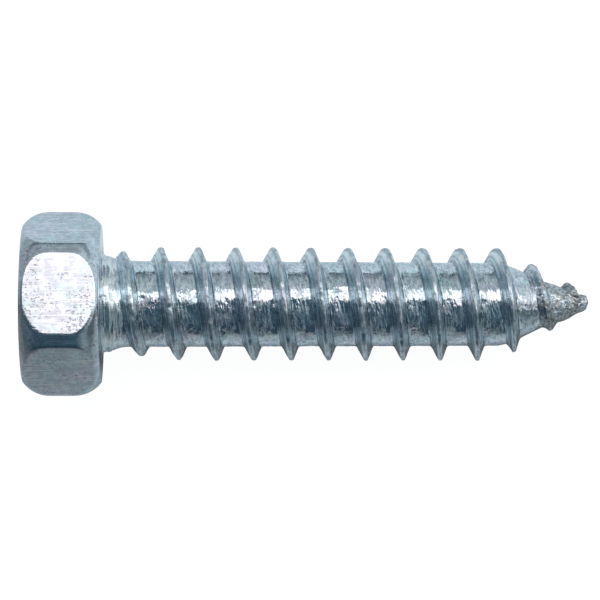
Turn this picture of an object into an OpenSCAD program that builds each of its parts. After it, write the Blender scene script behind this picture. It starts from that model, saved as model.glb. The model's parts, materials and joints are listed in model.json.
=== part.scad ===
// Hex head self-tapping screw, 5.5 by 25 mm class, right-hand thread with a gimlet point.
// It lies as it comes to rest: on the lower flat of the head and on its last full thread crest.
// Millimetres, +Z up, head towards -X, point towards +X, floor at Z = 0.

/* [Head] */
// Width across the flats of the hexagon
flats = 7.93; // [6.5:0.01:10]
// Height of the head from the bearing face to its top
head_h = 3.72; // [2.6:0.01:5]
// Depth to which each of the six corners is turned off
corner_cut = 0.16; // [0.05:0.01:0.35]
// Length along the axis of the rounding at both ends of the head
crown_len = 1.28; // [0.9:0.01:1.5]
// Depth by which that rounding draws in the end faces
crown_drop = 0.64; // [0.35:0.01:0.85]
// Distance from an end face at which the edge of each flat is broken
edge_break = 0.3; // [0.2:0.01:0.6]
// Slope of that broken edge against the flat
edge_slope = 25; // [10:1:45]

/* [Neck] */
// Diameter of the neck next to the bearing face
neck_d = 4.68; // [4.3:0.01:5.1]
// Length over which the neck narrows to the thread root
neck_len = 1.0; // [0.7:0.01:1.6]
// Fillet between the neck and the bearing face
neck_fillet = 0.33; // [0.2:0.01:0.5]

/* [Thread] */
// Outer diameter over the thread crests
thread_d = 5.44; // [5:0.01:6]
// Root diameter behind the neck
root_d = 4.12; // [3.6:0.01:4.4]
// Root diameter just before the point
root_d_end = 3.98; // [3.5:0.01:4.4]
// Axial distance from crest to crest
pitch = 1.8; // [1.4:0.01:2.2]
// Width of the flat on a crest
crest_w = 0.15; // [0.06:0.01:0.3]
// Angle of the flank that faces the head, from the radial direction
head_flank = 32; // [20:0.5:40]
// Angle of the flank that faces the point, from the radial direction
point_flank = 22; // [15:0.5:40]
// Crest position on the underside, from the bearing face within one pitch
crest_phase = 0.55; // [0.4:0.01:0.9]
// Distance from the bearing face at which the crests reach full height
runout_end = 3.0; // [2.4:0.05:4.5]

/* [Point] */
// Length from the bearing face to the tip
shank_len = 23.54; // [18:0.01:32]
// Length of the tapered point
point_len = 4.2; // [3:0.05:6]
// Diameter of the blunt, torn tip
tip_d = 0.5; // [0.2:0.05:1]
// Length of the bare cone between the thread's end and the tip
bare_len = 0.55; // [0.5:0.05:1.2]

/* [Hidden] */

// Facets in one turn of the thread
turn_n = 48;
// Facets in each rounding of the head and in the neck fillet
arc_n = 7;
eps = 0.01;

apothem = flats / 2;
corner_r = apothem / cos(30) - corner_cut;
rim_r = corner_r - crown_drop;
crown_r = (crown_len * crown_len + crown_drop * crown_drop) / (2 * crown_drop);
crown_c = corner_r - crown_r;

crest_r = thread_d / 2;
root_r = root_d / 2;
root_r_end = root_d_end / 2;
neck_r = neck_d / 2;
tip_r = tip_d / 2;
tooth_h = crest_r - root_r_end;
point_z = shank_len - point_len;

// Offsets of the thread profile from the middle of a crest, and the height share at each of them
edge_w = crest_w / 2;
shoulder = 0.9;
head_run = tooth_h * tan(head_flank);
point_run = tooth_h * tan(point_flank);
prof_z = [
    -edge_w - head_run,
    -edge_w - head_run * (1 - shoulder),
    -edge_w * 0.6,
    edge_w * 0.6,
    edge_w + point_run * (1 - shoulder),
    edge_w + point_run
];
prof_h = [0, shoulder, 1, 1, shoulder, 0];
prof_n = len(prof_z);
thread_end = shank_len - max(bare_len, crest_w + point_run + 0.1);

// The helix starts inside the head and ends where its crest has died away on the cone
start_z = crest_phase - pitch;
step_z = pitch / turn_n;
step_n = floor((thread_end + edge_w - start_z) / step_z);
cap_z = start_z + prof_z[0] - 0.3;

// Where the lower flat ends towards the bearing face, and the last full crest on the underside
arc_end = sqrt(crown_r * crown_r - pow(apothem - crown_c, 2)) - crown_len;
flat_end = min(arc_end, -edge_break);
full_end = point_z - edge_w;
last_crest = crest_phase + pitch * floor((full_end - crest_phase) / pitch);
rest_tilt = atan((apothem - crest_r) / (last_crest + edge_w * 0.6 - flat_end));
rest_lift = apothem * cos(rest_tilt) + flat_end * sin(rest_tilt);
reach_head = head_h * cos(rest_tilt) + rim_r * sin(rest_tilt);
reach_tip = shank_len * cos(rest_tilt) + tip_r * sin(rest_tilt);

// Radius of the bare core along the axis: a slow taper, then the cone of the point
function core_r(z) =
    z < point_z
        ? root_r + (root_r_end - root_r) * max(0, z) / point_z
        : root_r_end + (tip_r - root_r_end) * (z - point_z) / point_len;

// Height of the thread: it rises out of the neck to the full diameter and dies away along the point
function rise(z) = pow(max(0, min(1, z / runout_end)), 0.6);
function fade(z) = pow(max(0, min(1, (thread_end - z) / (thread_end - point_z))), 0.65);
function tooth(z) = z < point_z ? (crest_r - core_r(z)) * rise(z) : tooth_h * fade(z);

// A point of the shank at helix step i and profile point j
function helix_z(i, j) = start_z + i * step_z + prof_z[j];
function crest_at(i) = start_z + i * step_z;
function helix_r(i, j) = core_r(helix_z(i, j)) + prof_h[j] * tooth(crest_at(i));
function polar(r, a, z) = [r * cos(a), r * sin(a), z];
function turn_a(i) = 360 * i / turn_n;

shank_pts = concat(
    [for (i = [0 : step_n]) for (j = [0 : prof_n - 1]) polar(helix_r(i, j), turn_a(i), helix_z(i, j))],
    [for (k = [0 : turn_n - 1]) polar(core_r(cap_z), turn_a(k), cap_z)],
    [for (k = [0 : turn_n - 1]) polar(tip_r, turn_a(step_n + k), shank_len)]
);
cap_at = (step_n + 1) * prof_n;
tip_at = cap_at + turn_n;
function id(i, j) = j < prof_n ? i * prof_n + j : (i + turn_n) * prof_n;
function cap_id(k) = cap_at + k % turn_n;
function tip_id(k) = tip_at + k % turn_n;
function quad(a, b, c, d) = [[a, b, c], [a, c, d]];

// The wall of the helix, strip by strip; the last strip of a turn meets the first of the next
last_i = step_n - turn_n;
wall_faces = [
    for (i = [0 : step_n - 1]) for (j = [0 : prof_n - 1]) if (j < prof_n - 1 || i < last_i)
        for (f = quad(id(i, j), id(i, j + 1), id(i + 1, j + 1), id(i + 1, j))) f
];
// Below the first turn: a plain skirt down to the cap inside the head
skirt_faces = concat(
    [for (k = [0 : turn_n - 2]) for (f = quad(cap_id(k), id(k, 0), id(k + 1, 0), cap_id(k + 1))) f],
    [[cap_id(turn_n - 1), id(turn_n - 1, 0), cap_id(0)]],
    [[id(turn_n - 1, 0), id(0, 0), cap_id(0)]],
    [for (j = [0 : prof_n - 1]) [id(turn_n - 1, 0), id(0, j + 1), id(0, j)]]
);
// Above the last turn: the bare cone up to the tip
top_j = prof_n - 1;
function rim_id(k) = id(last_i + k, top_j);
cone_faces = concat(
    [for (k = [1 : turn_n - 1]) for (f = quad(rim_id(k), tip_id(k), tip_id(k + 1), rim_id(k + 1))) f],
    [[rim_id(1), rim_id(0), tip_id(1)]],
    [[rim_id(0), id(step_n, 0), tip_id(1)]],
    [for (j = [0 : top_j - 1]) [id(step_n, j), id(step_n, j + 1), tip_id(1)]],
    [[id(step_n, top_j), tip_id(0), tip_id(1)]]
);
end_faces = [
    [for (k = [0 : turn_n - 1]) cap_id(k)],
    [for (k = [turn_n - 1 : -1 : 0]) tip_id(k)]
];

// Right-hand threaded shank with its run-out and gimlet point, along +Z from inside the head
module shank() {
    polyhedron(points = shank_pts, faces = concat(wall_faces, skirt_faces, cone_faces, end_faces));
}

// Turned blank of the head: a barrel with rounded ends, from the top at -head_h to the bearing face
module barrel() {
    top_arc = [
        for (k = [0 : arc_n])
            let (u = -crown_len + crown_len * k / arc_n)
                [crown_c + sqrt(crown_r * crown_r - u * u), -head_h + crown_len + u]
    ];
    low_arc = [
        for (k = [0 : arc_n])
            let (u = crown_len * k / arc_n)
                [crown_c + sqrt(crown_r * crown_r - u * u), -crown_len + u]
    ];
    rotate_extrude($fn = 96)
        polygon(concat([[0, -head_h]], top_arc, low_arc, [[0, 0]]));
}

// Wedge that breaks the edge of one flat next to the bearing face
module edge_wedge() {
    translate([apothem, -apothem / 2, flat_end])
        rotate([0, -edge_slope, 0])
            cube([1, apothem, 1]);
}

module head() {
    difference() {
        intersection() {
            translate([0, 0, -head_h - 1])
                rotate([0, 0, 30])
                    cylinder(h = head_h + 2, r = apothem / cos(30), $fn = 6);
            barrel();
        }
        for (k = [0 : 5])
            rotate([0, 0, 60 * k]) {
                edge_wedge();
                translate([0, 0, -head_h])
                    mirror([0, 0, 1])
                        edge_wedge();
            }
    }
}

// Neck with its fillet to the bearing face; it sinks below the thread root at its end
module neck() {
    fillet_arc = [
        for (k = [0 : arc_n])
            let (a = 90 * k / arc_n)
                [neck_r + neck_fillet * (1 - sin(a)), neck_fillet * (1 - cos(a))]
    ];
    rotate_extrude($fn = 96)
        polygon(concat(
            [[0, -0.5], [neck_r + neck_fillet, -0.5], [neck_r + neck_fillet, -2 * eps]],
            [for (k = [1 : arc_n]) fillet_arc[k]],
            [[core_r(neck_len) - eps * 4, neck_len + eps * 8]],
            [[0, neck_len + eps * 8]]
        ));
}

module screw() {
    color([0.72, 0.75, 0.78])
        translate([(reach_head - reach_tip) / 2, 0, rest_lift])
            rotate([0, 90 + rest_tilt, 0])
                union() {
                    head();
                    neck();
                    shank();
                }
}

screw();
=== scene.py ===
import json
import math
from types import SimpleNamespace

import bmesh
import bpy
from mathutils import Matrix, Vector, noise


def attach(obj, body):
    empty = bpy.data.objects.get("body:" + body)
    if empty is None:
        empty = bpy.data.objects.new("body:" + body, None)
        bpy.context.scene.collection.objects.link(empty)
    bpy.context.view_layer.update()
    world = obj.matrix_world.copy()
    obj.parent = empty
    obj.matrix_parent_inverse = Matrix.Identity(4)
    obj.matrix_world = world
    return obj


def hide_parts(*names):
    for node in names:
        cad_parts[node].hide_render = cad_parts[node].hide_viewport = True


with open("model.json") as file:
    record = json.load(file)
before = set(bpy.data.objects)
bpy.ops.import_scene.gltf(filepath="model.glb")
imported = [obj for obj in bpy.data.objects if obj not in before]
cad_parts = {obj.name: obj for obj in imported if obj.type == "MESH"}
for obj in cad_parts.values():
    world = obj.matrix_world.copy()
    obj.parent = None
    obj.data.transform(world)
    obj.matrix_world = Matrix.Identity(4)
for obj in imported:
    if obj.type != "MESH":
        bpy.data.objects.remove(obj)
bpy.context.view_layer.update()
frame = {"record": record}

# Sizes in millimetres in the screw's own frame: +Z runs from the bearing face to the point,
# and +X looks at the floor.
APOTHEM = 7.93 / 2
HEAD_H = 3.72
CORNER_R = APOTHEM / math.cos(math.radians(30)) - 0.16
CROWN_LEN = 1.28
CROWN_DROP = 0.64
EDGE_BREAK = 0.24
EDGE_SLOPE = math.tan(math.radians(25))
EDGE_ROUND = 0.022
TOP_RISE = 0.05
HEAD_SIDE_R = 3.7
NECK_FOOT_R = 2.62
BEARING_RING_R = 2.85
NECK_BLEND = 0.05
PITCH = 1.8
CREST_PHASE = 0.55
BLANK_R = 2.0
BLANK_TOOTH = 0.7
TIP_CUT = 23.42
TIP_END = 23.53
TIP_SHIFT = 0.09

# Depths of the marks that rolling, turning and wear have left, in millimetres
HEAD_WAVER = 0.004
ROLLING_MARK = 0.016
DIMPLE = 0.020
SLUR = 0.11
FLATTER_SIDE = 0.018
NECK_GROOVE = 0.060
FLANK_WAVER = 0.16
CREST_WAVER = 0.045
CREST_NICK = 0.14
POINT_LUMP = 0.03
POINT_CREST_LUMP = 0.05
POINT_TEAR = 0.045

# Steps of the mesh, and the distances within which its vertices are merged
TURN_STEPS = 144
TURNS = 14
HEAD_STEPS = 360
MERGE = 0.0005
TURN_MERGE = 0.004
SHARP_ANGLE = math.radians(42)

# Rows of the head's mesh: radii on the bearing face and on the top, and heights on the half of its side
# next to the bearing face, which the other half mirrors
BEARING_ROWS = [BEARING_RING_R, 3.1, 3.4, 3.65]
TOP_ROWS = [3.6, 3.3, 2.8, 2.1, 1.4, 0.7, 0.0]
SIDE_ROWS = [
    0.0, -0.05, -0.11, -0.17, -0.23, -0.29, -0.36, -0.45, -0.56, -0.68, -0.82, -0.98, -1.15, -1.35, -1.6,
]

# One thread pitch as offset from the crest and share of the full height
THREAD_PROFILE = [
    (-0.90, 0.0), (-0.79, 0.0), (-0.68, 0.0), (-0.56, 0.002), (-0.50, 0.010), (-0.455, 0.045),
    (-0.415, 0.13), (-0.365, 0.26), (-0.305, 0.43), (-0.24, 0.60), (-0.18, 0.755), (-0.14, 0.86),
    (-0.11, 0.935), (-0.085, 0.98), (-0.05, 0.998), (0.0, 1.0), (0.05, 0.997), (0.076, 0.97),
    (0.098, 0.91), (0.122, 0.82), (0.165, 0.66), (0.213, 0.475), (0.262, 0.29), (0.30, 0.155),
    (0.33, 0.065), (0.37, 0.018), (0.43, 0.003), (0.52, 0.0), (0.64, 0.0), (0.77, 0.0), (0.90, 0.0),
]

# Radius of the core along the axis, down to the torn end of the point
CORE = [
    (-1.0, 2.065), (0.9, 2.065), (19.1, 2.0), (19.5, 1.91), (20.3, 1.58), (21.2, 1.15), (22.25, 0.82),
    (22.9, 0.50), (23.0, 0.44), (23.2, 0.415), (23.32, 0.375), (23.42, 0.31), (23.6, 0.06),
]

# Radius of the neck behind the bearing face; it sinks below the core where the thread begins
NECK = [
    (-1.0, NECK_FOOT_R), (0.0, NECK_FOOT_R), (0.035, 2.46), (0.08, 2.36), (0.15, 2.32), (0.30, 2.30),
    (0.45, 2.27), (0.58, 2.21), (0.72, 2.16), (0.86, 2.09), (1.0, 2.02), (1.2, 1.9), (2.2, 0.0), (30.0, 0.0),
]

# Height of the thread along the axis, at its crest: run-out, full height, gimlet point
TOOTH = [
    (-1.0, 0.0), (-0.2, 0.05), (0.4, 0.30), (1.0, 0.46), (1.9, 0.45), (2.4, 0.60), (2.9, 0.68),
    (3.75, 0.62), (4.6, 0.675), (10.0, 0.68), (18.4, 0.72), (19.1, 0.72), (19.95, 0.56), (20.85, 0.59),
    (21.3, 0.44), (21.75, 0.26), (22.2, 0.24), (22.45, 0.33), (22.65, 0.38), (22.82, 0.31), (22.93, 0.08),
    (23.05, 0.0),
]

# Tones of the plating, and of the painted shade and highlight on its thread
ZINC_BLUE = (0.648, 0.79, 0.864, 1)
ZINC_LILAC = (0.743, 0.776, 0.905, 1)
ZINC_GREEN = (0.553, 0.796, 0.79, 1)
PIT_GREY = (0.23, 0.236, 0.243, 1)
CHIPPED_STEEL = (0.378, 0.452, 0.513, 1)
SEAM_SHADE_GREY = (0.257, 0.324, 0.385, 1)
SMEAR_GREY = (0.39, 0.49, 0.55, 1)
RUBBED_BRIGHT = (0.90, 0.97, 0.97, 1)
HEAD_FLANK_SHADE = (0.446, 0.553, 0.614, 1)
POINT_FLANK_HIGHLIGHT = (0.864, 0.95, 0.97, 1)
RULED_GREY = (0.28, 0.35, 0.395, 1)
RULED_PALE = (0.88, 0.96, 0.97, 1)
FOOT_SHADE_GREY = (0.22, 0.27, 0.30, 1)
TURNED_BRIGHT = (0.891, 0.97, 0.97, 1)
DRAWN_GREY = (0.446, 0.506, 0.553, 1)
SCORED_BRIGHT = (0.97, 0.97, 0.97, 1)
BURNT_BROWN = (0.486, 0.466, 0.439, 1)
GRIT_GREY = (0.189, 0.189, 0.182, 1)
GRAZING_TINT = (0.88, 0.92, 0.95, 1)
POLISH = 0.09
RELIEF_HEIGHT = 0.00004

# The studio, in metres: a floor of pale paper and one long softbox that leans from behind
FLOOR_HALF = 2.0
PAPER_GREY = (0.18, 0.18, 0.18, 1)
PAPER_GLOW = 0.955
PAPER_COOL = (0.88, 1.0, 1.06, 1)
WHITE = (1, 1, 1, 1)
SOFTBOX_LENGTH = 1.6
SOFTBOX_WIDTH = 0.315
SOFTBOX_LEAN = math.radians(17.0)
SOFTBOX_REACH = 0.6
SOFTBOX_ALONG = 0.2
SOFTBOX_TONE = (1.0, 0.885, 0.85)
SOFTBOX_LEVEL = 1.38

# Painted light and shade of the paper as the metal shows it, by millimetres across the screw towards the
# back: a painted shadow under the screw and a painted pool of light towards the lamp
PAPER_SPAN = 80
PAPER_PAINTED_LIGHT = [
    (-40, 0.126), (-23, 0.23), (-14, 0.304), (-9.7, 0.356), (-7.4, 0.422), (-6, 0.474), (-4.9, 0.393),
    (-4.1, 0.319), (-3.2, 0.296), (-2.4, 0.0889), (2.3, 0.0889), (3.0, 0.593), (3.6, 0.741), (4.2, 0.689),
    (5.2, 0.585), (6.6, 0.585), (8.4, 0.63), (11.3, 0.652), (17, 0.689), (30, 0.689),
]

# What the studio's room shows along the screw's sides, by lean in degrees from straight up to the back
ROOM = [
    (-100, (0.133, 0.17, 0.207)), (-91, (0.0385, 0.067, 0.089)), (-84, (0.0305, 0.057, 0.082)),
    (-66, (0.036, 0.066, 0.091)), (-56, (0.068, 0.11, 0.142)), (-48, (0.036, 0.07, 0.098)),
    (-36, (0.072, 0.117, 0.15)), (-24, (0.036, 0.074, 0.104)), (-12, (0.058, 0.1, 0.132)),
    (3, (0.0815, 0.115, 0.141)), (31, (0.489, 0.533, 0.548)), (36, (0.56, 0.6, 0.615)),
    (41, (0.40, 0.44, 0.455)), (47, (0.57, 0.615, 0.635)), (53, (0.36, 0.395, 0.415)),
    (58, (0.49, 0.53, 0.555)), (64, (0.37, 0.405, 0.425)), (70, (0.45, 0.493, 0.52)),
    (81, (0.25, 0.285, 0.305)), (85, (0.07, 0.095, 0.115)), (91, (0.07, 0.095, 0.115)),
    (93, (0.444, 0.459, 0.474)),
]
HEAD_WALL_FRONT = (0.104, 0.137, 0.163, 1)
HEAD_WALL_BACK = (0.341, 0.378, 0.4, 1)
POINT_WALL_FRONT = (0.26, 0.305, 0.33, 1)
# Past the point the wall goes on towards the back through these, by lean in radians
POINT_WALL = [
    (-1.3, -0.7, (0.215, 0.262, 0.288, 1)),
    (-0.55, -0.15, (0.459, 0.504, 0.526, 1)),
    (0.1, 0.5, (0.652, 0.696, 0.719, 1)),
    (1.2, 1.4, (0.341, 0.378, 0.407, 1)),
]
END_WALL_FRONT = (0.111, 0.133, 0.148, 1)
END_WALL_BACK = (0.741, 0.778, 0.793, 1)

# The camera at the photograph's angle: degrees, millimetres and pixels
CAMERA_RISE = 83.657
CAMERA_TURN = 0.8
CAMERA_ROLL = -0.339
CAMERA_DISTANCE = 111
CAMERA_AIM_HEIGHT = 3.3
CAMERA_NEAR = 5
CAMERA_SHIFT = (-5.436, 4.062)
PIXELS_PER_MM = 20.7505
IMAGE_WIDTH = 600
SENSOR_WIDTH = 36.0


def along(table, at):
    """Value of a table of (position, value) pairs at a position, straight between the pairs."""
    for (a, low), (b, high) in zip(table, table[1:]):
        if at <= b:
            return low + (high - low) * max(0.0, at - a) / (b - a)
    return table[-1][1]


def ease(low, high, at):
    """0 up to low, 1 from high on, smooth between; low may be the larger of the two."""
    t = min(1.0, max(0.0, (at - low) / (high - low)))
    return t * t * (3 - 2 * t)


def soft_max(a, b, k):
    """The larger of two radii, with the corner between them rounded over k."""
    return 0.5 * (a + b + math.sqrt((a - b) ** 2 + k * k))


def grain(x, y, z):
    """Smooth noise from -1 to 1."""
    return noise.noise(Vector((x, y, z)))


def shank_radius(z, angle, share, crest_z):
    """Radius of the rolled shank: core, thread and neck with their rolling marks and nicks."""
    c, s = math.cos(angle), math.sin(angle)
    tooth = along(TOOTH, crest_z)
    rolled = along(CORE, z) + share * tooth
    radius = soft_max(rolled, along(NECK, z), NECK_BLEND)
    point = ease(19.8, 21.6, z)
    torn = ease(20.9, 21.5, z)
    neck = 1 - ease(0.7, 1.2, z)
    root = (1 - share) * (1 - point)
    # rolling marks run round the core; dimples and slurs sit between them, fewer on its sides
    marked = root * (1 - 0.7 * ease(0.25, 0.6, s) - 0.5 * ease(0.55, 0.8, -s))
    radius += marked * ROLLING_MARK * grain(c * 1.6, s * 1.6, z * 5.5)
    radius += marked * DIMPLE * grain(c * 5.0, s * 5.0, z * 2.4 + 40)
    radius += marked * SLUR * max(0.0, grain(c * 4.6 + 30, s * 4.6, z * 3.2) - 0.30)
    # the dies have left the root a little flatter on one side
    radius -= root * (1 - neck) * FLATTER_SIDE * ease(0.02, 0.22, -s) * ease(0.82, 0.64, -s)
    # turned grooves on the neck
    radius += neck * ease(0.02, 0.12, z) * NECK_GROOVE * grain(c * 0.9 + 9, s * 0.9, z * 5.5)
    # the flanks waver a little, and the crest has nicks where plating has chipped
    flank = share * (1 - share)
    radius += flank * FLANK_WAVER * grain(c * 5.0, s * 5.0, crest_z * 1.3 + 4.0 * share + 70)
    radius += share ** 6 * tooth * CREST_WAVER * grain(c * 6.0, s * 6.0, crest_z * 2.2 + 20)
    radius -= share ** 5 * CREST_NICK * max(0.0, grain(c * 9.0 + 3, s * 9.0, crest_z * 3.0) - 0.22)
    # the gimlet point is rough, its last turn torn
    lump = point * (POINT_LUMP + POINT_CREST_LUMP * share)
    radius += lump * grain(c * 2.2 * radius, s * 2.2 * radius, z * 2.6 + 15)
    radius += torn * POINT_TEAR * grain(c * 5.0 * radius, s * 5.0 * radius, z * 5.5 + 5)
    return max(0.05, radius)


def barrel_radius(z):
    """Radius of the turned blank of the head, with both ends rounded."""
    crown = (CROWN_LEN ** 2 + CROWN_DROP ** 2) / (2 * CROWN_DROP)
    reach = max(0.0, z + CROWN_LEN, CROWN_LEN - HEAD_H - z)
    return CORNER_R - crown + math.sqrt(max(0.0, crown * crown - reach * reach))


def head_radius(radius, z, angle):
    """Radius of the head's side: the turned blank cut by six flats whose edges are broken."""
    off = (angle + math.radians(30)) % math.radians(60) - math.radians(30)
    broken = max(0.0, z + EDGE_BREAK, EDGE_BREAK - HEAD_H - z) * EDGE_SLOPE
    flat = (APOTHEM - broken) / math.cos(off)
    cut = radius + flat - soft_max(radius, flat, EDGE_ROUND)
    return cut + HEAD_WAVER * grain(math.cos(angle) * 3, math.sin(angle) * 3, z * 0.8)


def outline_chain(bm, outline):
    """Puts an outline of (radius, height) pairs into the mesh as a chain of edges."""
    chain = [bm.verts.new((r, 0.0, z)) for r, z in outline]
    return chain + [bm.edges.new(pair) for pair in zip(chain, chain[1:])]


def spun_head(bm):
    """Spins the outline of the head into a barrel, then presses the six flats into it."""
    side = SIDE_ROWS + [-HEAD_H / 2] + [-HEAD_H - z for z in reversed(SIDE_ROWS)]
    outline = [(r, 0.0) for r in BEARING_ROWS]
    outline += [(barrel_radius(z), z) for z in side]
    outline += [(r, -HEAD_H - TOP_RISE * (1 - (r / HEAD_SIDE_R) ** 2)) for r in TOP_ROWS]
    bmesh.ops.spin(
        bm, geom=outline_chain(bm, outline), cent=(0, 0, 0), axis=(0, 0, 1), angle=2 * math.pi,
        steps=HEAD_STEPS, use_merge=True,
    )
    bmesh.ops.remove_doubles(bm, verts=bm.verts, dist=MERGE)
    for v in bm.verts:
        x, y, z = v.co
        radius = math.hypot(x, y)
        if radius > HEAD_SIDE_R:
            angle = math.atan2(y, x)
            radius = head_radius(radius, z, angle)
            v.co = (radius * math.cos(angle), radius * math.sin(angle), z)
    return [e for e in bm.edges if e.is_boundary]


def added_since(bm, before):
    """Vertices, edges and faces that have come into the mesh since it held the given vertices."""
    geom = [v for v in bm.verts if v not in before]
    geom += [e for e in bm.edges if e.verts[0] not in before]
    return geom + [f for f in bm.faces if f.verts[0] not in before]


def thread_blank(bm, before):
    """Spins one thread profile along the helix, repeats that turn and trims both ends square."""
    start = CREST_PHASE - PITCH
    profile = [(BLANK_R + share * BLANK_TOOTH, start + off) for off, share in THREAD_PROFILE]
    bmesh.ops.spin(
        bm, geom=outline_chain(bm, profile), cent=(0, 0, 0), axis=(0, 0, 1),
        dvec=(0, 0, PITCH / TURN_STEPS), angle=2 * math.pi, steps=TURN_STEPS, use_merge=False,
    )
    turn = added_since(bm, before)
    for count in range(1, TURNS):
        copied = bmesh.ops.duplicate(bm, geom=turn)["geom"]
        moved = [g for g in copied if isinstance(g, bmesh.types.BMVert)]
        bmesh.ops.translate(bm, vec=(0, 0, PITCH * count), verts=moved)
    shank = [v for v in bm.verts if v not in before]
    bmesh.ops.remove_doubles(bm, verts=shank, dist=TURN_MERGE)
    for height, inner in ((0.0, True), (TIP_CUT, False)):
        bmesh.ops.bisect_plane(
            bm, geom=added_since(bm, before), dist=MERGE, plane_co=(0, 0, height), plane_no=(0, 0, 1),
            clear_inner=inner, clear_outer=not inner,
        )


def rolled_shank(bm):
    """Makes the threaded blank, rolls it to its radius and closes the torn tip."""
    before = set(bm.verts)
    crest = bm.verts.layers.float["crest"]
    thread_blank(bm, before)
    for v in [v for v in bm.verts if v not in before]:
        x, y, z = v.co
        angle = math.atan2(y, x)
        share = min(1.0, max(0.0, (math.hypot(x, y) - BLANK_R) / BLANK_TOOTH))
        turn = round((z - CREST_PHASE) / PITCH - angle / (2 * math.pi))
        crest_z = CREST_PHASE + PITCH * (turn + angle / (2 * math.pi))
        # the last crests are a little narrower
        share **= 1 + 0.7 * ease(19.0, 19.8, crest_z)
        radius = shank_radius(z, angle, share, crest_z)
        v[crest] = share * ease(0.0, 0.45, along(TOOTH, crest_z))
        shift = TIP_SHIFT * ease(22.8, 23.4, z)
        v.co = (radius * math.cos(angle), radius * math.sin(angle) + shift, z)
    rims = [e for e in bm.edges if e.is_boundary and e.verts[0] not in before]
    foot = [e for e in rims if e.verts[0].co.z < PITCH]
    tip = [e for e in rims if e.verts[0].co.z > TIP_CUT - PITCH]
    closed = bmesh.ops.extrude_edge_only(bm, edges=tip)
    ring = [g for g in closed["geom"] if isinstance(g, bmesh.types.BMVert)]
    bmesh.ops.pointmerge(bm, verts=ring, merge_co=(0.0, TIP_SHIFT, TIP_END))
    return foot


def add_object(name, data):
    """Adds an object to the scene, at the origin."""
    added = bpy.data.objects.new(name, data)
    bpy.context.scene.collection.objects.link(added)
    return added


def screw_body(place):
    """The whole screw as one closed skin."""
    bm = bmesh.new()
    bm.verts.layers.float.new("crest")
    ring = spun_head(bm)
    foot = rolled_shank(bm)
    bmesh.ops.recalc_face_normals(bm, faces=bm.faces)
    bmesh.ops.bridge_loops(bm, edges=ring + foot)
    bmesh.ops.remove_doubles(bm, verts=bm.verts, dist=MERGE)
    bmesh.ops.recalc_face_normals(bm, faces=bm.faces)
    bmesh.ops.transform(bm, matrix=place, verts=bm.verts)
    mesh = bpy.data.meshes.new("screw_body")
    bm.to_mesh(mesh)
    bm.free()
    mesh.shade_smooth()
    mesh.set_sharp_from_angle(angle=SHARP_ANGLE)
    return add_object("screw_body", mesh)


class Nodes:
    """Short calls that add nodes to one tree. A value is a number or the output of another node."""

    def __init__(self, tree):
        self.tree = tree

    def fill(self, socket, value):
        """Sets an input to a number or colour, or links another node's output to it."""
        if isinstance(value, bpy.types.NodeSocket):
            self.tree.links.new(value, socket)
        else:
            socket.default_value = value

    def put(self, kind, inputs=None, **settings):
        """Adds a node, sets it and fills its inputs."""
        node = self.tree.nodes.new(kind)
        for name, value in settings.items():
            setattr(node, name, value)
        for key, value in (inputs or {}).items():
            self.fill(node.inputs[key], value)
        return node

    def maths(self, operation, *values):
        return self.put("ShaderNodeMath", dict(enumerate(values)), operation=operation).outputs[0]

    def times(self, first, *others):
        for other in others:
            first = self.maths("MULTIPLY", first, other)
        return first

    def plus(self, a, b):
        return self.maths("ADD", a, b)

    def scaled(self, value, by, more):
        """A value times a factor, plus more."""
        return self.maths("MULTIPLY_ADD", value, by, more)

    def rest_of(self, share):
        """What a share leaves of 1."""
        return self.maths("SUBTRACT", 1.0, share)

    def spread(self, value, low, high, to_low=0.0, to_high=1.0):
        """Maps a value smoothly from one range to another; low may be the larger."""
        inputs = {"Value": value, "From Min": low, "From Max": high, "To Min": to_low, "To Max": to_high}
        return self.put("ShaderNodeMapRange", inputs, interpolation_type="SMOOTHSTEP").outputs[0]

    def mixed(self, share, a, b):
        """Mixes two colours."""
        return self.put("ShaderNodeMix", {0: share, 6: a, 7: b}, data_type="RGBA").outputs[2]

    def ramp(self, at, stops):
        """Colour ramp through (position, colour) pairs."""
        node = self.put("ShaderNodeValToRGB", {0: at})
        elements = node.color_ramp.elements
        while len(elements) < len(stops):
            elements.new(0.5)
        for element, (position, tone) in zip(elements, stops):
            element.position = position
            element.color = (*tone, 1.0)
        return node.outputs[0]

    def axes_of(self, vector):
        return tuple(self.put("ShaderNodeSeparateXYZ", {0: vector}).outputs)

    def vector_of(self, x, y, z):
        return self.put("ShaderNodeCombineXYZ", {0: x, 1: y, 2: z}).outputs[0]

    def stretched(self, vector, scale):
        """Coordinates in which a pattern is drawn out where the scale is small."""
        return self.put("ShaderNodeMapping", {"Vector": vector, "Scale": scale}).outputs[0]

    def speckle(self, vector, scale, detail, rough):
        """Noise in three dimensions."""
        inputs = {"Vector": vector, "Scale": scale, "Detail": detail, "Roughness": rough}
        return self.put("ShaderNodeTexNoise", inputs).outputs[0]

    def streak(self, vector, run, scale, detail, rough):
        """Noise in four dimensions, for streaks that close round the thread."""
        inputs = {"Vector": vector, "W": run, "Scale": scale, "Detail": detail, "Roughness": rough}
        return self.put("ShaderNodeTexNoise", inputs, noise_dimensions="4D").outputs[0]

    def seen(self, rays):
        """1 where the camera looks, straight or through something clear."""
        return self.maths("MAXIMUM", rays["Is Camera Ray"], rays["Is Transmission Ray"])


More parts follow.
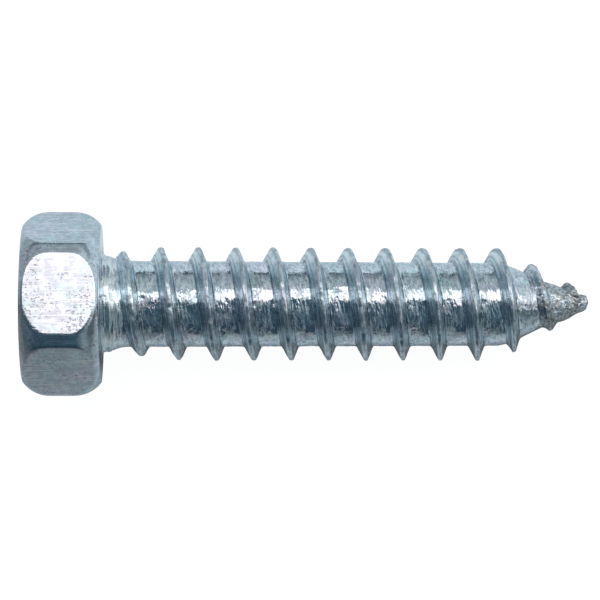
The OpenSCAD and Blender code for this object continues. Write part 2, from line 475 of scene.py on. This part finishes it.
def plating_marks(nodes, place):
    """The zones of the screw as shares from 0 to 1, and the noise of the marks that its finish shares."""
    # millimetres in the screw's own frame
    own = nodes.put("ShaderNodeMapping", {
        "Vector": nodes.put("ShaderNodeTexCoord").outputs["Object"],
        "Location": place.to_translation(),
        "Rotation": place.to_euler(),
        "Scale": (0.001, 0.001, 0.001),
    }, vector_type="TEXTURE").outputs[0]
    x, y, z = nodes.axes_of(own)
    crest = nodes.put("ShaderNodeAttribute", attribute_name="crest").outputs["Fac"]
    marks = SimpleNamespace(own=own, y=y, z=z, crest=crest)

    # head, neck, thread and the ragged start of the torn point
    marks.head = nodes.spread(z, 0.02, -0.02)
    marks.shank = nodes.rest_of(marks.head)
    marks.neck = nodes.times(marks.shank, nodes.spread(z, 1.3, 0.8))
    marks.thread = nodes.maths("SUBTRACT", marks.shank, marks.neck)
    ragged = nodes.scaled(nodes.speckle(own, 1.6, 2.0, 0.6), 2.4, nodes.maths("SUBTRACT", z, 1.2))
    marks.point = nodes.spread(ragged, 20.8, 21.5)

    # place across the thread and along it, so that streaks follow the helix without a seam
    turn = nodes.maths("ARCTAN2", y, x)
    phase = nodes.maths("SUBTRACT", turn, nodes.times(z, 2 * math.pi / PITCH))
    phase_x, phase_y = nodes.maths("COSINE", phase), nodes.maths("SINE", phase)
    turn_x, turn_y = nodes.maths("COSINE", turn), nodes.maths("SINE", turn)
    out = nodes.maths("SQRT", nodes.scaled(x, x, nodes.times(y, y)))
    lay = nodes.vector_of(nodes.times(phase_x, 1.8), nodes.times(phase_y, 1.8), nodes.times(turn_x, 3.4))
    run = nodes.scaled(out, 6.0, nodes.scaled(turn_y, 3.4, nodes.times(z, 0.4)))
    marks.streaks = nodes.streak(lay, run, 1.0, 1.0, 0.6)
    marks.fine = nodes.streak(lay, run, 1.9, 1.0, 0.6)
    marks.ridges = nodes.spread(nodes.streak(lay, run, 1.4, 0.0, 0.6), 0.57, 0.69)

    # the flanks, with the fine lines that the dies have ruled along them
    marks.flank = nodes.times(nodes.spread(crest, 0.05, 0.18), nodes.spread(crest, 1.0, 0.93))
    flank_lay = nodes.vector_of(nodes.times(phase_x, 3.8), nodes.times(phase_y, 3.8), turn_x)
    marks.ruled = nodes.streak(flank_lay, nodes.scaled(out, 2.0, turn_y), 1.0, 1.0, 0.5)
    # the flanks that face the head and the point, which the colour paints in shade and in highlight
    head_side = nodes.maths("COSINE", nodes.plus(phase, 0.873))
    marks.head_side = nodes.times(nodes.spread(head_side, 0.80, 0.95), marks.thread)
    point_side = nodes.maths("COSINE", nodes.plus(phase, 2.67))
    marks.point_side = nodes.times(nodes.spread(point_side, 0.86, 0.97), marks.thread)
    marks.past_crest = nodes.maths("COSINE", nodes.plus(phase, 3.67))

    # frosting, mottling, pits, the turned grooves of the neck and the drawn lines of the head
    marks.frost = nodes.speckle(own, 2.3, 4.0, 0.6)
    marks.mottle = nodes.speckle(own, 5.5, 1.0, 0.6)
    marks.grooves = nodes.speckle(nodes.stretched(own, (0.16, 0.16, 1.0)), 6.0, 1.0, 0.6)
    marks.scratches = nodes.speckle(nodes.stretched(own, (1.0, 1.0, 0.1)), 11.0, 2.0, 0.5)
    pitted_area = nodes.spread(nodes.speckle(own, 0.9, 1.0, 0.5), 0.40, 0.58)
    marks.pits = nodes.times(nodes.spread(nodes.speckle(own, 8.0, 2.0, 0.5), 0.55, 0.66), pitted_area)
    return marks


def plating_colour(nodes, marks):
    """Blue-grey zinc that drifts to lilac and green-grey, under the layers that rolling and wear left, with
    painted shade on the crest seam, the head-side flanks and the flanks' feet, and a painted highlight on
    the point-side flanks.
    """
    own, crest, frost = marks.own, marks.crest, marks.frost
    drift = nodes.speckle(own, 0.55, 2.0, 0.5)
    tint = nodes.speckle(own, 1.6, 3.0, 0.6)
    colour = nodes.mixed(nodes.spread(drift, 0.38, 0.62), ZINC_BLUE, ZINC_LILAC)
    colour = nodes.mixed(nodes.spread(tint, 0.52, 0.72), colour, ZINC_GREEN)

    # crests: chipped plating, and painted shade along the seam on the very top
    chips = nodes.times(nodes.spread(crest, 0.6, 1.0), nodes.spread(frost, 0.40, 0.60, 0.45, 1.0))
    seam = nodes.times(nodes.spread(crest, 0.93, 0.995), nodes.spread(frost, 0.38, 0.58, 0.4, 1.0))
    # shank: dark smears and bright rubbed streaks along the thread
    smear = nodes.scaled(marks.fine, 0.55, nodes.times(marks.mottle, 0.45))
    smear = nodes.times(nodes.spread(smear, 0.47, 0.59), marks.shank)
    rubbed = nodes.times(nodes.spread(marks.fine, 0.50, 0.36), marks.shank)
    # flanks: dark and pale ruled lines, and painted shade in the corners at their feet
    ruled_dark = nodes.times(marks.flank, nodes.spread(marks.ruled, 0.50, 0.60))
    ruled_pale = nodes.times(marks.flank, nodes.spread(marks.ruled, 0.46, 0.36))
    foot_shade = nodes.times(nodes.spread(crest, 0.0, 0.05), nodes.spread(crest, 0.20, 0.08))
    # head: grey drawn lines and a few bright scores
    drawn = nodes.scaled(marks.scratches, 0.4, nodes.times(nodes.speckle(own, 3.4, 2.0, 0.6), 0.6))
    drawn = nodes.times(nodes.spread(drawn, 0.40, 0.58), marks.head)
    scores = nodes.speckle(nodes.stretched(own, (1.0, 1.0, 0.025)), 22.0, 0.0, 0.5)
    scores = nodes.times(nodes.spread(scores, 0.66, 0.73), marks.head)
    # point: burnt patches and grit
    burnt = nodes.times(marks.point, nodes.spread(tint, 0.44, 0.62))
    grit = nodes.times(marks.point, nodes.spread(nodes.speckle(own, 7.5, 1.0, 0.5), 0.50, 0.62))

    layers = [
        (marks.pits, 0.75, PIT_GREY),
        (chips, 0.20, CHIPPED_STEEL),
        # painted shade along the crest seam
        (seam, nodes.spread(marks.z, 1.6, 3.4, 0.0, 0.24), SEAM_SHADE_GREY),
        (smear, 0.62, SMEAR_GREY),
        (rubbed, 0.7, RUBBED_BRIGHT),
        # painted shade on the flanks that face the head
        (marks.head_side, 0.35, HEAD_FLANK_SHADE),
        # painted highlight on the flanks that face the point
        (marks.point_side, 0.6, POINT_FLANK_HIGHLIGHT),
        (ruled_dark, 0.7, RULED_GREY),
        (ruled_pale, 0.7, RULED_PALE),
        # painted shade in the corners at the flanks' feet
        (foot_shade, nodes.spread(frost, 0.40, 0.58, 0.2, 0.75), FOOT_SHADE_GREY),
        (marks.neck, nodes.spread(marks.grooves, 0.44, 0.60, 0.1, 0.75), TURNED_BRIGHT),
        (drawn, 0.65, DRAWN_GREY),
        (scores, 0.7, SCORED_BRIGHT),
        (burnt, 0.65, BURNT_BROWN),
        (grit, 0.7, GRIT_GREY),
    ]
    for share, strength, tone in layers:
        colour = nodes.mixed(nodes.times(share, strength), colour, tone)
    return colour


def plating_gloss(nodes, marks):
    """Roughness: frosted patches and streaks between bright ones, duller flanks, crests, neck and point."""
    frosted = nodes.plus(nodes.times(marks.frost, 0.55), nodes.times(marks.streaks, 0.45))
    on_shank = nodes.rest_of(nodes.times(marks.head, 0.7))
    matt = nodes.scaled(marks.past_crest, 0.05, nodes.speckle(marks.own, 2.0, 3.0, 0.65))
    gloss = POLISH
    for share, more in (
        (nodes.times(nodes.spread(frosted, 0.46, 0.60), on_shank), 0.10),
        (marks.point, 0.16),
        (marks.neck, 0.10),
        (nodes.times(nodes.spread(matt, 0.52, 0.62), marks.thread), 0.29),
        (marks.head_side, 0.12),
        (marks.point_side, 0.08),
        (nodes.spread(marks.crest, 0.75, 0.97), 0.21),
    ):
        gloss = nodes.scaled(share, more, gloss)
    return gloss


def plating_relief(nodes, marks):
    """Fine relief of the plating, in shares of the bump's height."""
    own, thread = marks.own, marks.thread
    torn = nodes.scaled(marks.past_crest, 0.07, nodes.speckle(own, 0.9, 1.0, 0.5))
    torn = nodes.spread(torn, 0.46, 0.60)
    # the sides of the root are calmer than its top
    calm = nodes.times(
        nodes.spread(marks.y, 0.5, 1.2, 1.0, 0.22), nodes.spread(marks.y, -1.1, -1.6, 1.0, 0.45),
    )
    # streaks along the thread, dragged up past each crest
    rolled = nodes.scaled(marks.fine, 0.5, nodes.times(marks.streaks, 1.3))
    rolled = nodes.scaled(marks.ridges, 0.22, rolled)
    relief = nodes.times(
        rolled, thread, nodes.scaled(marks.past_crest, 0.65, 1.0),
        nodes.spread(torn, 0.0, 1.0, 1.0, 0.75), nodes.spread(marks.z, 19.6, 20.1, 1.0, 0.3), calm,
    )
    dents = nodes.speckle(own, 2.6, 1.0, 0.6)
    lumps = nodes.speckle(own, 3.6, 1.0, 0.5)
    bumpy = nodes.scaled(marks.point, 1.3, 0.08)
    off_head = nodes.rest_of(nodes.times(marks.head, 0.85))
    for mark, *heights in (
        (marks.grooves, marks.neck, 2.0),
        (marks.scratches, marks.head, 0.05),
        (dents, thread, calm, 0.4),
        (lumps, thread, torn, calm, 0.9),
        (marks.ruled, marks.flank, 0.6),
        (marks.mottle, bumpy, off_head),
        (marks.pits, -0.06),
    ):
        relief = nodes.plus(relief, nodes.times(mark, *heights))
    bump = {"Strength": 1.0, "Distance": RELIEF_HEIGHT, "Height": relief}
    return nodes.put("ShaderNodeBump", bump).outputs[0]


def new_finish(name):
    """A new material with its node calls and its shader's inputs."""
    material = bpy.data.materials.new(name)
    material.use_nodes = True
    return material, Nodes(material.node_tree), material.node_tree.nodes["Principled BSDF"].inputs


def zinc_plating(place):
    """Clear-passivated zinc on rolled steel: streaks along the thread, pits on the flats, worn crests."""
    material, nodes, shader = new_finish("zinc_plating")
    marks = plating_marks(nodes, place)
    shader["Metallic"].default_value = 1.0
    shader["Specular Tint"].default_value = GRAZING_TINT
    nodes.fill(shader["Base Color"], plating_colour(nodes, marks))
    nodes.fill(shader["Roughness"], plating_gloss(nodes, marks))
    nodes.fill(shader["Normal"], plating_relief(nodes, marks))
    return material


def studio_paper():
    """Matt paper that shows white to the eye and dimmer in the metal, with painted light and shade there,
    and keeps the shadow.
    """
    material, nodes, shader = new_finish("studio_paper")
    shader["Base Color"].default_value = PAPER_GREY
    shader["Roughness"].default_value = 1.0
    shader["Specular IOR Level"].default_value = 0.0
    rays = nodes.put("ShaderNodeLightPath").outputs
    seen = nodes.seen(rays)
    # in the metal the floor shows a painted pool of light towards the lamp, which leans from behind, and a
    # painted shadow under the screw
    x, y = nodes.axes_of(nodes.put("ShaderNodeTexCoord").outputs["Object"])[:2]
    across = nodes.scaled(y, 1000 / PAPER_SPAN, 0.5)
    bright = nodes.ramp(across, [(0.5 + at / PAPER_SPAN, (tone, tone, tone)) for at, tone in PAPER_PAINTED_LIGHT])
    # painted shade: in front of the head and beyond its top it is dimmer
    painted_head_shade = nodes.maths(
        "MAXIMUM", nodes.spread(x, -0.016, -0.004, 0.70, 1.0), nodes.spread(y, -0.002, 0.002),
    )
    lit = nodes.times(bright, painted_head_shade, nodes.spread(x, -0.030, -0.015, 0.5, 1.0))
    shown = nodes.maths("MAXIMUM", seen, nodes.times(rays["Is Glossy Ray"], lit))
    nodes.fill(shader["Emission Color"], nodes.mixed(seen, PAPER_COOL, WHITE))
    nodes.fill(shader["Emission Strength"], nodes.times(shown, PAPER_GLOW))
    return material


def studio_floor():
    """Pale seamless floor under the screw."""
    bm = bmesh.new()
    bmesh.ops.create_grid(bm, x_segments=1, y_segments=1, size=FLOOR_HALF)
    mesh = bpy.data.meshes.new("studio_floor")
    bm.to_mesh(mesh)
    bm.free()
    mesh.materials.append(studio_paper())
    floor = add_object("studio_floor", mesh)


def softbox():
    """One long softbox above, leaning from behind the screw."""
    lamp = bpy.data.lights.new("softbox", "AREA")
    lamp.shape = "RECTANGLE"
    lamp.size = SOFTBOX_LENGTH
    lamp.size_y = SOFTBOX_WIDTH
    lamp.color = SOFTBOX_TONE
    lamp.energy = SOFTBOX_LEVEL * math.pi * lamp.size * lamp.size_y
    box = add_object("softbox", lamp)
    back, up = SOFTBOX_REACH * math.sin(SOFTBOX_LEAN), SOFTBOX_REACH * math.cos(SOFTBOX_LEAN)
    box.location = (SOFTBOX_ALONG, back, up)
    box.rotation_euler = (-SOFTBOX_LEAN, 0.0, 0.0)


def studio_room():
    """Dim room with a pale wall behind, which shows in the metal; the eye sees it white."""
    world = bpy.data.worlds.new("studio")
    bpy.context.scene.world = world
    world.use_nodes = True
    nodes = Nodes(world.node_tree)
    x, y, z = nodes.axes_of(nodes.put("ShaderNodeTexCoord").outputs["Generated"])
    lean = nodes.maths("ARCTAN2", y, z)
    share = nodes.scaled(lean, 0.5 / math.pi, 0.5)
    room = nodes.ramp(share, [(0.5 + degrees / 360, tone) for degrees, tone in ROOM])
    head_wall = nodes.mixed(nodes.spread(lean, 0.0, 0.9), HEAD_WALL_FRONT, HEAD_WALL_BACK)
    room = nodes.mixed(nodes.spread(x, -0.45, -0.9), room, head_wall)
    point_wall = POINT_WALL_FRONT
    for low, high, tone in POINT_WALL:
        point_wall = nodes.mixed(nodes.spread(lean, low, high), point_wall, tone)
    end_wall = nodes.mixed(nodes.spread(lean, -0.64, -0.38), END_WALL_FRONT, END_WALL_BACK)
    point_wall = nodes.mixed(nodes.spread(x, 0.66, 0.88), point_wall, end_wall)
    room = nodes.mixed(nodes.spread(x, 0.22, 0.62), room, point_wall)
    seen = nodes.seen(nodes.put("ShaderNodeLightPath").outputs)
    background = world.node_tree.nodes["Background"].inputs
    nodes.fill(background["Color"], nodes.mixed(seen, room, WHITE))
    background["Strength"].default_value = 1.0


def photo_camera():
    """Camera almost straight above, at the photograph's angle; the image is square."""
    rise, turn, roll = (math.radians(a) for a in (CAMERA_RISE, CAMERA_TURN, CAMERA_ROLL))
    back = Vector((math.sin(turn), -math.cos(rise) * math.cos(turn), math.sin(rise) * math.cos(turn)))
    right = Vector((0, math.sin(rise), math.cos(rise))).cross(back).normalized()
    up = back.cross(right)
    across = right * math.cos(roll) + up * math.sin(roll)
    upward = up * math.cos(roll) - right * math.sin(roll)
    lens = bpy.data.cameras.new("photo_camera")
    lens.sensor_fit = "HORIZONTAL"
    lens.sensor_width = SENSOR_WIDTH
    lens.lens = PIXELS_PER_MM * CAMERA_DISTANCE / IMAGE_WIDTH * SENSOR_WIDTH
    lens.shift_x, lens.shift_y = (shift / IMAGE_WIDTH for shift in CAMERA_SHIFT)
    lens.clip_start = CAMERA_NEAR / 1000
    camera = add_object("photo_camera", lens)
    turned = Matrix((across, upward, back)).transposed().to_4x4()
    eye = (Vector((0, 0, CAMERA_AIM_HEIGHT)) + back * CAMERA_DISTANCE) / 1000
    camera.matrix_world = Matrix.Translation(eye) @ turned
    bpy.context.scene.camera = camera


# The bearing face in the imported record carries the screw's own frame
bearing = next(m for m in frame["record"]["mounts"] if m["name"] == "bearing_face")
axis = Vector(bearing["axis"]).normalized()
side = Vector((0, 1, 0))
own_axes = Matrix((side.cross(axis), side, axis)).transposed().to_4x4()
placed = Matrix.Translation(Vector(bearing["pos_m"])) @ own_axes

screw = screw_body(placed @ Matrix.Scale(0.001, 4))
screw.data.materials.append(zinc_plating(placed))
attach(screw, "root")
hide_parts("screw")

studio_floor()
softbox()
studio_room()
photo_camera()
bpy.context.scene.view_settings.view_transform = "Standard"
